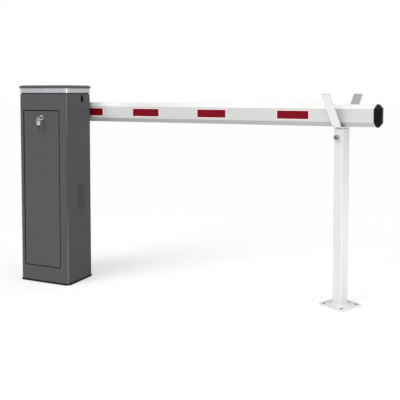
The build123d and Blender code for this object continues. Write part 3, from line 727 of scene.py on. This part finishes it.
class BARRIER_OT_cabinet(bpy.types.Operator):
    """Coat the cabinet's sheets, lid and base, and brush its band"""

    bl_idname = "barrier.cabinet"
    bl_label = "Cabinet"

    def execute(self, context):
        colours = context.scene.barrier_colours
        coat = textured_powder_coat("cabinet_powder_coat", tuple(colours.cabinet))
        dress(
            ["left_side", "right_side", "back_panel", "front_frame", "hinge_pins", "door_panel"], coat)
        # The lid takes a paler copy of the cabinet's coat, painted light on its flared rim
        dress(["lid"], textured_powder_coat("lid_powder_coat", tuple(colours.lid)))
        black = textured_powder_coat("black_powder_coat", tuple(colours.fittings))
        dress(["base_plate", "boom_carrier", "boom_clamp"], black)
        dress(["roof_collar"], textured_powder_coat("collar_powder_coat", tuple(colours.collar)))
        dress(["top_band"], anodised_aluminium("band_anodised_aluminium"))
        return {"FINISHED"}


class BARRIER_OT_door_seal(bpy.types.Operator):
    """Clip the grey rubber trim on the inner edge of the door opening"""

    bl_idname = "barrier.door_seal"
    bl_label = "Door seal"

    def execute(self, context):
        width = context.scene.barrier_sizes.seal_width
        low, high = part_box("door_panel")
        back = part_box("front_frame")[1].y
        # The trim runs this far outside the door's edge, nearer on the hinge side
        margin, hinge_margin = 0.005, 0.003
        left, right = low.x - hinge_margin, high.x + margin
        bottom, top = low.z - margin, high.z + margin
        corner_radius, spacing = 0.006, 0.08
        path = rounded_rectangle(right - left, top - bottom, corner_radius, spacing)
        centre = Vector(((left + right) / 2, (bottom + top) / 2))
        # It grips the sheet by 1.5 mm and stands 2.2 mm behind it
        grip, shoulder, proud = -0.0015, 0.001, 0.0022
        inner, outer = -width / 2, 0.75 * width
        profile = [
            (inner, grip), (inner, shoulder), (inner / 2, proud), (width / 2, proud), (outer, shoulder),
            (outer, grip)]

        def place(across, up, out):
            return Vector((centre.x + across, back + out, centre.y + up))

        bm = bmesh.new()
        bar_round(bm, path, profile, place)
        finish_piece("door_seal", bm, "cabinet", extruded_rubber("seal_epdm_rubber"))
        return {"FINISHED"}


class BARRIER_OT_release_bezel(bpy.types.Operator):
    """Press the black bezel round the keyhole of the hand release"""

    bl_idname = "barrier.release_bezel"
    bl_label = "Release bezel"

    def execute(self, context):
        width = context.scene.barrier_sizes.bezel_width
        openings = frame["record"]["physics"]["openings"]
        keyhole = next(o for o in openings if o["name"] == "hand_release_slot")
        near, far = (Vector(corner) for corner in keyhole["box_m"])
        centre = (near + far) / 2
        # The keyhole is two circles, one over the other: height from its middle, and radius
        circles = ((-0.006, 0.0095), (0.007, 0.0075))

        def reach(angle, grow):
            """How far the outline lies from the middle, with its circles grown by this much."""
            exits = []
            for height, radius in circles:
                rise = height * math.sin(angle)
                exits.append(rise + math.sqrt(rise * rise - height * height + (radius + grow) ** 2))
            return max(exits)

        # The section from the hole outwards, as shares of the rim's width and of its thickness
        section = ((0, 0), (0, 0.7), (0.06, 1), (0.85, 1), (1, 0.6), (1, 0))
        thickness, points = 0.0012, 72
        bm = bmesh.new()
        rings = []
        for share, out in section:
            ring = []
            for n in range(points):
                angle = 2 * math.pi * n / points
                distance = reach(angle, share * width)
                spot = Vector((out * thickness, distance * math.cos(angle), distance * math.sin(angle)))
                ring.append(bm.verts.new(centre + spot))
            rings.append(ring)
        join_rings(bm, rings, closed=True)
        finish_piece(
            "release_bezel", bm, "cabinet",
            moulded_polyamide("bezel_polyamide", linear("#1A1A1B")))
        return {"FINISHED"}


class BARRIER_OT_lock(bpy.types.Operator):
    """Plate the lock and its ring, dull the keys and set the barrel's face in the bezel"""

    bl_idname = "barrier.lock"
    bl_label = "Lock and keys"

    def execute(self, context):
        nickel = nickel_plate("lock_nickel_plate")
        dress(["lock_cylinder", "lock_nut", "key_ring"], nickel)
        dress(["door_key"], worn_nickel_silver("key_nickel_silver", "#CBCBC9"))
        # The spare key's blade is darkened up to its bow with painted shade, which stands in for its
        # shadow
        bow_height = 0.022
        bow_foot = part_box("spare_key")[1].z - bow_height
        dress(["spare_key"], worn_nickel_silver(
            "spare_key_nickel_silver", "#CBCBC9", painted_shade_below=bow_foot))
        # The barrel's face, 72 percent as wide as its bezel and a little proud of it
        low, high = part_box("lock_cylinder")
        centre = middle("lock_cylinder")
        radius, thickness = 0.36 * (high.x - low.x), 0.0006
        # Half the width and half the height of the slot round the key's blade
        half_width, half_height = 0.0012, 0.0042
        # The section from the rim to the slot, as shares of the way out and of the thickness
        section = ((1, 0), (1, 0.7), (0.96, 1), (0, 1), (0, 0))
        points = 48
        bm = bmesh.new()
        rings = []
        for share, out in section:
            ring = []
            for n in range(points):
                angle = 2 * math.pi * n / points
                way = Vector((math.cos(angle), math.sin(angle)))
                inner = 1 / max(abs(way.x) / half_width, abs(way.y) / half_height)
                spot = way * (inner + (radius - inner) * share)
                ring.append(bm.verts.new(
                    (centre.x + spot.x, low.y - out * thickness, centre.z + spot.y)))
            rings.append(ring)
        join_rings(bm, rings, closed=False)
        barrel = worn_nickel_silver("barrel_nickel_silver", "#626262")
        finish_piece("lock_face", bm, "door", barrel)
        return {"FINISHED"}


class BARRIER_OT_drive(bpy.types.Operator):
    """Enamel the drive's castings and plate its steel"""

    bl_idname = "barrier.drive"
    bl_label = "Drive"

    def execute(self, context):
        colours = context.scene.barrier_colours
        dress(["gearbox", "motor"], enamelled_casting("casting_enamel", tuple(colours.castings)))
        zinc = zinc_plate("steel_zinc_plate")
        dress(["drive_plate", "shaft_bearing", "main_shaft", "clamp_bolts", "lock_cam"], zinc)
        return {"FINISHED"}


class BARRIER_OT_bolts(bpy.types.Operator):
    """Put bolt heads on the bearing, the gearbox and the drive plate"""

    bl_idname = "barrier.bolts"
    bl_label = "Bolt heads"

    def execute(self, context):
        sizes = context.scene.barrier_sizes
        # Four bolts hold each piece: half their distance across and up, and the way that they face
        sets = (
            ("bearing_bolts", "shaft_bearing", 0.034, 0.034, 1),
            ("gearbox_bolts", "gearbox", 0.053, 0.053, -1),
            ("plate_bolts", "drive_plate", 0.090, 0.095, -1))
        # The drive's operator has made their finish
        zinc = bpy.data.materials["steel_zinc_plate"]
        for name, node, across, up, side in sets:
            low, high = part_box(node)
            centre, face = middle(node), high.y if side > 0 else low.y
            bm = bmesh.new()
            for right, above in ((1, 1), (-1, 1), (-1, -1), (1, -1)):
                spot = Vector((centre.x + right * across, face, centre.z + above * up))
                bolt_head(bm, facing(spot, (0, side, 0)), sizes.bolt_flats, sizes.bolt_height)
            finish_piece(name, bm, "cabinet", zinc, bevel=0.0003)
        return {"FINISHED"}


class BARRIER_OT_boom(bpy.types.Operator):
    """Coat the boom's profile and mould its caps"""

    bl_idname = "barrier.boom"
    bl_label = "Boom"

    def execute(self, context):
        colours = context.scene.barrier_colours
        dress(["boom_tube"], coated_aluminium("boom_powder_coat", tuple(colours.boom)))
        dress(["tip_cap", "root_cap"], moulded_polyamide("cap_polyamide", tuple(colours.caps)))
        return {"FINISHED"}


class BARRIER_OT_strips(bpy.types.Operator):
    """Lay the red film on the boom and show its pale rim"""

    bl_idname = "barrier.strips"
    bl_label = "Reflective strips"

    def execute(self, context):
        colours, sizes = context.scene.barrier_colours, context.scene.barrier_sizes
        film = retroreflective_film("strip_film", tuple(colours.strips))
        dress(["front_strips", "rear_strips"], film)
        rim = cast_vinyl("strip_rim_vinyl", tuple(colours.strip_edge))
        border, thickness = sizes.strip_border, sizes.strip_thickness
        profile = [(0, 0), (border, 0), (border, thickness), (0, thickness)]
        corner_radius, spacing = 0.0008, 0.2
        carrier_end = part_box("boom_carrier")[1].x
        for name, node, side in (
                ("front_strip_rims", "front_strips", -1), ("rear_strip_rims", "rear_strips", 1)):
            low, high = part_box(node)
            face = high.y if side < 0 else low.y
            # The strips are one mesh, whose corners give the left and right end of each in turn
            ends = sorted({round(v.co.x, 5) for v in frame["nodes"][node].data.vertices})
            bm = bmesh.new()
            for left, right in zip(ends[::2], ends[1::2]):
                # Beside the carrier the rim is cut to three quarters of the room that is left
                space = left - carrier_end
                left_border = border if space > border else 0.75 * space
                path = rounded_rectangle(right - left, high.z - low.z, corner_radius, spacing)
                centre = Vector(((left + right) / 2, (low.z + high.z) / 2))

                def place(across, up, out):
                    x = max(centre.x + across, left - left_border)
                    return Vector((x, face + side * out, centre.y + up))

                bar_round(bm, path, profile, place)
            finish_piece(name, bm, "boom", rim)
        return {"FINISHED"}


class BARRIER_OT_post(bpy.types.Operator):
    """Coat the post and its fork, and lay the weld at its foot"""

    bl_idname = "barrier.post"
    bl_label = "Post and fork"

    def execute(self, context):
        colours, sizes = context.scene.barrier_colours, context.scene.barrier_sizes
        coat = smooth_powder_coat("post_powder_coat", tuple(colours.post))
        dress(["post_tube", "post_collar", "fork_stem"], coat)
        # The fork's coat carries painted shade on the faces that look up into it
        fork_coat = powder_coat_with_painted_inner_shade("fork_powder_coat", tuple(colours.fork), tuple(colours.inner_painted_shade))
        dress(["fork_cradle"], fork_coat)
        dress(["set_bolt"], burnished_steel("bolt_burnished_steel"))
        centre, face = middle("post_foot"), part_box("post_foot")[1].z
        dress(["post_foot"], drilled_powder_coat(
            "foot_powder_coat", tuple(colours.post), (centre.x, centre.y), -sizes.post_turn,
            sizes.foot_holes, sizes.foot_hole / 2))
        # The weld is a round bead whose back lies in the tube's wall and in the plate
        turn = Matrix.Rotation(-sizes.post_turn, 2)
        leg, root, toe = sizes.weld_leg, -0.001, -0.0004
        corner_radius, spacing = 0.004, 0.0012
        path = rounded_rectangle(sizes.post_tube, sizes.post_tube, corner_radius, spacing)
        profile = [
            (root, root), (leg, toe), (0.93 * leg, 0.28 * leg), (0.66 * leg, 0.66 * leg),
            (0.28 * leg, 0.93 * leg), (toe, leg), (root, leg)]

        def place(across, along, out):
            flat = turn @ Vector((across, along))
            return Vector((centre.x + flat.x, centre.y + flat.y, face + out))

        def ripple(point):
            """The bead's size: the torch ripples it each 2.2 mm, and the hand wavers over some 8 mm."""
            run = point.x if abs(point.y) > abs(point.x) else point.y
            even = math.sin(2 * math.pi * run / 0.0022)
            uneven = noise.noise((130 * point).to_3d())
            return 1 + 0.07 * even + 0.12 * uneven

        bm = bmesh.new()
        bar_round(bm, path, profile, place, ripple)
        finish_piece("foot_weld", bm, "cabinet", coat)
        return {"FINISHED"}


class BARRIER_OT_stage(bpy.types.Operator):
    """Roll out the floor, hang the lights and set the camera"""

    bl_idname = "barrier.stage"
    bl_label = "Stage"

    def execute(self, context):
        scene = context.scene
        stage = scene.barrier_stage
        # The floor ends too far off to show, and lies half a millimetre under the barrier
        floor_radius, floor_height = 60, -0.0005
        bm = bmesh.new()
        bmesh.ops.create_circle(bm, cap_ends=True, segments=96, radius=floor_radius)
        mesh = bpy.data.meshes.new("studio_floor")
        bm.to_mesh(mesh)
        bm.free()
        mesh.materials.append(
            lit_acrylic("floor_opal_acrylic", tuple(scene.barrier_colours.floor), stage.floor_glow))
        floor = bpy.data.objects.new("studio_floor", mesh)
        floor.location.z = floor_height
        scene.collection.objects.link(floor)

        # Wide soft lights that are as strong all over the floor, so that it stays even to the horizon:
        # the way to each one, its strength, and how wide it looks in degrees
        wide_lights = (
            ("key_light", (-0.32, -0.7, 0.64), stage.key_strength, 36),
            ("top_light", (0.05, -0.12, 1), stage.top_strength, 55))
        for name, way, strength, width in wide_lights:
            lamp = bpy.data.lights.new(name, "SUN")
            lamp.energy = strength
            lamp.angle = math.radians(width)
            light = bpy.data.objects.new(name, lamp)
            # Only its way matters, so it hangs 5 m or so off, clear of the barrier
            light.location = 5 * Vector(way)
            light.rotation_euler = Vector(way).to_track_quat("Z", "Y").to_euler()
            scene.collection.objects.link(light)

        # Softboxes: a long one over the boom, a tall narrow one that draws a bright line on the
        # corners, one close to the post that opens up its right face, and one with a grid that lights
        # the boom's root past the cabinet. Each has its place, the spot that it faces, its width and
        # height, its power, and the angle in degrees that its light fans out over
        open_fan, gridded_fan = 180, 26
        softboxes = (
            ("boom_softbox", (1.0, 0.03, 1.5), (1.0, 0.16, 0.87), 1.2, 0.25, stage.boom_power, open_fan),
            ("rim_softbox", (2.61, -1.82, 0.8), (0.6, -0.1, 0.7), 0.2, 1.6, stage.rim_power, open_fan),
            ("post_softbox", (1.95, -0.09, 0.33), (1.46, 0.16, 0.33), 0.25, 0.55, stage.post_power,
             open_fan),
            ("root_softbox", (0.33, -0.42, 1.58), (0.19, 0.14, 0.91), 0.2, 0.2, stage.root_power,
             gridded_fan))
        for name, place, target, width, height, power, fan in softboxes:
            lamp = bpy.data.lights.new(name, "AREA")
            lamp.shape = "RECTANGLE"
            lamp.size, lamp.size_y = width, height
            lamp.energy = power
            lamp.spread = math.radians(fan)
            light = bpy.data.objects.new(name, lamp)
            light.location = place
            way = Vector(place) - Vector(target)
            light.rotation_euler = way.to_track_quat("Z", "Y").to_euler()
            light.visible_camera = False
            scene.collection.objects.link(light)

        # A pale tent, white up to 8 degrees over the horizon and down to a fifth of that from 15 degrees
        tent = bpy.data.worlds.new("studio_tent")
        tent.use_nodes = True
        tree = tent.node_tree
        way = add_node(tree, "ShaderNodeTexCoord").outputs["Generated"]
        height = add_node(tree, "ShaderNodeSeparateXYZ", links={"Vector": way}).outputs["Z"]
        level = add_node(
            tree, "ShaderNodeMapRange",
            {"interpolation_type": "SMOOTHSTEP", "From Min": 0.145, "From Max": 0.26, "To Min": 1,
             "To Max": 0.2}, {"Value": height}).outputs["Result"]
        glow = add_node(tree, "ShaderNodeBackground", {"Color": (1, 1, 1, 1)}, {"Strength": level})
        tree.links.new(glow.outputs["Background"], tree.nodes["World Output"].inputs["Surface"])
        scene.world = tent
        scene.view_settings.view_transform = "Standard"

        lens = bpy.data.cameras.new("photo_camera")
        lens.sensor_width = 36
        lens.lens = stage.focal_length
        lens.shift_y = stage.camera_shift
        camera = bpy.data.objects.new("photo_camera", lens)
        camera.location = stage.camera_place
        camera.rotation_euler = (math.pi / 2 - stage.camera_dip, 0, stage.camera_turn)
        scene.collection.objects.link(camera)
        scene.camera = camera
        return {"FINISHED"}


class BARRIER_PT_panel(bpy.types.Panel):
    """Sizes, colours and steps of the barrier"""

    bl_idname = "BARRIER_PT_panel"
    bl_label = "Boom Barrier"
    bl_space_type = "VIEW_3D"
    bl_region_type = "UI"
    bl_category = "Barrier"

    def draw(self, context):
        scene = context.scene
        for group in (scene.barrier_colours, scene.barrier_sizes, scene.barrier_stage):
            box = self.layout.box()
            for name in group.__annotations__:
                box.prop(group, name)
        for step in steps:
            self.layout.operator(step.bl_idname)


groups = (BarrierColours, BarrierSizes, BarrierStage)
steps = (
    BARRIER_OT_cabinet, BARRIER_OT_door_seal, BARRIER_OT_lock, BARRIER_OT_drive, BARRIER_OT_bolts,
    BARRIER_OT_boom, BARRIER_OT_release_bezel, BARRIER_OT_strips, BARRIER_OT_post, BARRIER_OT_stage)


def register():
    for cls in (*groups, *steps, BARRIER_PT_panel):
        bpy.utils.register_class(cls)
    bpy.types.Scene.barrier_colours = PointerProperty(type=BarrierColours)
    bpy.types.Scene.barrier_sizes = PointerProperty(type=BarrierSizes)
    bpy.types.Scene.barrier_stage = PointerProperty(type=BarrierStage)


def unregister():
    del bpy.types.Scene.barrier_stage
    del bpy.types.Scene.barrier_sizes
    del bpy.types.Scene.barrier_colours
    for cls in reversed((*groups, *steps, BARRIER_PT_panel)):
        bpy.utils.unregister_class(cls)


def main():
    """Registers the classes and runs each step."""
    register()
    bpy.ops.barrier.cabinet()
    bpy.ops.barrier.door_seal()
    bpy.ops.barrier.lock()
    bpy.ops.barrier.drive()
    bpy.ops.barrier.bolts()
    bpy.ops.barrier.boom()
    bpy.ops.barrier.release_bezel()
    bpy.ops.barrier.strips()
    bpy.ops.barrier.post()
    bpy.ops.barrier.stage()


if __name__ == "__main__":
    main()
